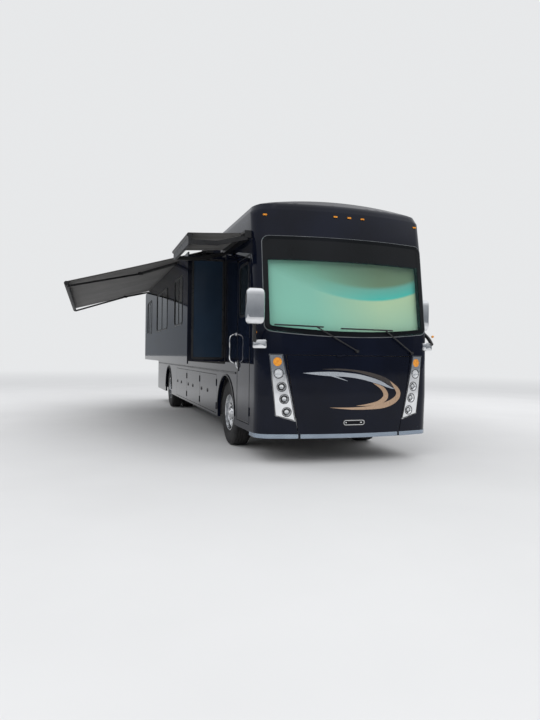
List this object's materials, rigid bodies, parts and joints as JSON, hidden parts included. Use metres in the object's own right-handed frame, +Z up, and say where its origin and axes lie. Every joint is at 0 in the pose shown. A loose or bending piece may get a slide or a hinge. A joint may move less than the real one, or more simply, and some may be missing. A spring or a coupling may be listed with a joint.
{
  "type": "motorhome",
  "caption": "Large dark Class A motorhome with slide-outs, patio awning, entry door, steering front axle and twin rear wheels.",
  "frame": {"origin": "middle of the whole outline on the ground, awning and slide-outs out", "axes": "+Z up, -Y to the coach's front, +X to the driver's side"},
  "size_m": [5.6909, 11.547, 3.88],
  "materials": {
    "body_paint": "gloss",
    "chassis_steel": "satin",
    "interior_panel": "matte",
    "window_glass": "gloss",
    "blind_cloth": "matte",
    "polished_metal": "polished",
    "polished_aluminium": "polished",
    "tyre_rubber": "matte",
    "clear_lens": "gloss",
    "amber_lens": "gloss",
    "red_lens": "gloss",
    "awning_cloth": "matte",
    "black_metal": "satin",
    "engine_paint": "satin",
    "roof_plastic": "satin",
    "seat_leather": "satin",
    "spring_rubber": "matte"
  },
  "bodies": {
    "coach": {"air_springs": "spring_rubber", "awning_arms": "black_metal", "awning_case": "black_metal", "awning_fabric": "awning_cloth", "cab_seats": "seat_leather", "chassis_frame": "chassis_steel", "dashboard": "interior_panel", "door_awning_fabric": "awning_cloth", "door_awning_frame": "black_metal", "driveshaft": "chassis_steel", "engine": "engine_paint", "floor": "interior_panel", "front_axle": "chassis_steel", "front_cap": "body_paint", "generator": "engine_paint", "grab_handle": "polished_metal", "headlamp_lenses": "clear_lens", "headlamps": "polished_metal", "hitch_receiver": "chassis_steel", "leveling_jacks": "chassis_steel", "marker_lamps": "amber_lens", "mirrors": "polished_metal", "rear_axle": "chassis_steel", "rear_cap": "body_paint", "roof": "body_paint", "roof_units": "roof_plastic", "side_wall_left": "body_paint", "side_wall_right": "body_paint", "side_windows": "window_glass", "steering_wheel": "black_metal", "storage_bays": "interior_panel", "tail_lamps": "red_lens", "windshield": "window_glass", "windshield_blind": "blind_cloth", "wipers": "black_metal"},
    "entry_door": {"entry_door": "body_paint", "entry_door_glass": "window_glass"},
    "service_hatch": {"service_hatch": "body_paint"},
    "engine_door": {"engine_door": "body_paint"},
    "tie_rod": {"tie_rod": "chassis_steel"},
    "slide_out_right": {"slide_out_right": "body_paint", "slide_glass_right": "window_glass"},
    "knuckle_right": {"knuckle_right": "chassis_steel"},
    "front_wheel_right": {"front_tyre_right": "tyre_rubber", "front_rim_right": "polished_aluminium"},
    "rear_wheels_right": {"rear_tyres_right": "tyre_rubber", "rear_rims_right": "polished_aluminium"},
    "bay_door_right_1": {"bay_door_right_1": "body_paint"},
    "bay_door_right_2": {"bay_door_right_2": "body_paint"},
    "bay_door_right_3": {"bay_door_right_3": "body_paint"},
    "slide_out_left": {"slide_out_left": "body_paint", "slide_glass_left": "window_glass"},
    "knuckle_left": {"knuckle_left": "chassis_steel"},
    "front_wheel_left": {"front_tyre_left": "tyre_rubber", "front_rim_left": "polished_aluminium"},
    "rear_wheels_left": {"rear_tyres_left": "tyre_rubber", "rear_rims_left": "polished_aluminium"},
    "bay_door_left_1": {"bay_door_left_1": "body_paint"},
    "bay_door_left_2": {"bay_door_left_2": "body_paint"},
    "bay_door_left_3": {"bay_door_left_3": "body_paint"}
  },
  "joints": [
    {"name": "entry_door_hinge", "type": "hinge", "parent": "coach", "child": "entry_door", "pos_m": [-0.3485, -5.1625, 1.5], "axis": [0, 0, 1], "range_deg": [0, 90]},
    {"name": "service_hatch_hinge", "type": "hinge", "parent": "coach", "child": "service_hatch", "pos_m": [0.9425, -5.7355, 1.444], "axis": [-1, 0, 0], "range_deg": [0, 70]},
    {"name": "engine_door_hinge", "type": "hinge", "parent": "coach", "child": "engine_door", "pos_m": [0.9425, 5.7675, 1.334], "axis": [1, 0, 0], "range_deg": [0, 75]},
    {"name": "slide_out_right_travel", "type": "slide", "parent": "coach", "child": "slide_out_right", "axis": [1, 0, 0], "range_m": [0, 0.59]},
    {"name": "bay_door_right_1_hinge", "type": "hinge", "parent": "coach", "child": "bay_door_right_1", "pos_m": [-0.3485, -3.0325, 0.76], "axis": [0, 0, 1], "range_deg": [0, 90]},
    {"name": "bay_door_right_2_hinge", "type": "hinge", "parent": "coach", "child": "bay_door_right_2", "pos_m": [-0.3485, -1.4625, 0.76], "axis": [0, 0, 1], "range_deg": [0, 90]},
    {"name": "bay_door_right_3_hinge", "type": "hinge", "parent": "coach", "child": "bay_door_right_3", "pos_m": [-0.3485, 0.1075, 0.76], "axis": [0, 0, 1], "range_deg": [0, 90]},
    {"name": "slide_out_left_travel", "type": "slide", "parent": "coach", "child": "slide_out_left", "axis": [-1, 0, 0], "range_m": [0, 0.59]},
    {"name": "bay_door_left_1_hinge", "type": "hinge", "parent": "coach", "child": "bay_door_left_1", "pos_m": [2.2335, -3.0325, 0.76], "axis": [0, 0, -1], "range_deg": [0, 90]},
    {"name": "bay_door_left_2_hinge", "type": "hinge", "parent": "coach", "child": "bay_door_left_2", "pos_m": [2.2335, -1.4625, 0.76], "axis": [0, 0, -1], "range_deg": [0, 90]},
    {"name": "bay_door_left_3_hinge", "type": "hinge", "parent": "coach", "child": "bay_door_left_3", "pos_m": [2.2335, 0.1075, 0.76], "axis": [0, 0, -1], "range_deg": [0, 90]},
    {"name": "kingpin_left", "type": "hinge", "parent": "coach", "child": "knuckle_left", "pos_m": [1.8225, -3.7385, 0.515], "axis": [0, 0, 1], "range_deg": [-40, 40]},
    {"name": "kingpin_right", "type": "hinge", "parent": "coach", "child": "knuckle_right", "pos_m": [0.0625, -3.7385, 0.515], "axis": [0, 0, 1], "range_deg": [-40, 40]},
    {"name": "tie_rod_joint", "type": "hinge", "parent": "knuckle_left", "child": "tie_rod", "pos_m": [1.8225, -3.4785, 0.38], "axis": [0, 0, 1], "range_deg": [-40, 40]},
    {"name": "front_wheel_left_spin", "type": "hinge", "parent": "knuckle_left", "child": "front_wheel_left", "pos_m": [2.0375, -3.7385, 0.515], "axis": [1, 0, 0], "continuous": true},
    {"name": "rear_wheels_left_spin", "type": "hinge", "parent": "coach", "child": "rear_wheels_left", "pos_m": [2.0375, 3.1615, 0.515], "axis": [1, 0, 0], "continuous": true},
    {"name": "front_wheel_right_spin", "type": "hinge", "parent": "knuckle_right", "child": "front_wheel_right", "pos_m": [-0.1525, -3.7385, 0.515], "axis": [1, 0, 0], "continuous": true},
    {"name": "rear_wheels_right_spin", "type": "hinge", "parent": "coach", "child": "rear_wheels_right", "pos_m": [-0.1525, 3.1615, 0.515], "axis": [1, 0, 0], "continuous": true}
  ],
  "couplings": [
    {"joint": "kingpin_right", "follows": "kingpin_left", "ratio": 1},
    {"joint": "tie_rod_joint", "follows": "kingpin_left", "ratio": -1}
  ]
}
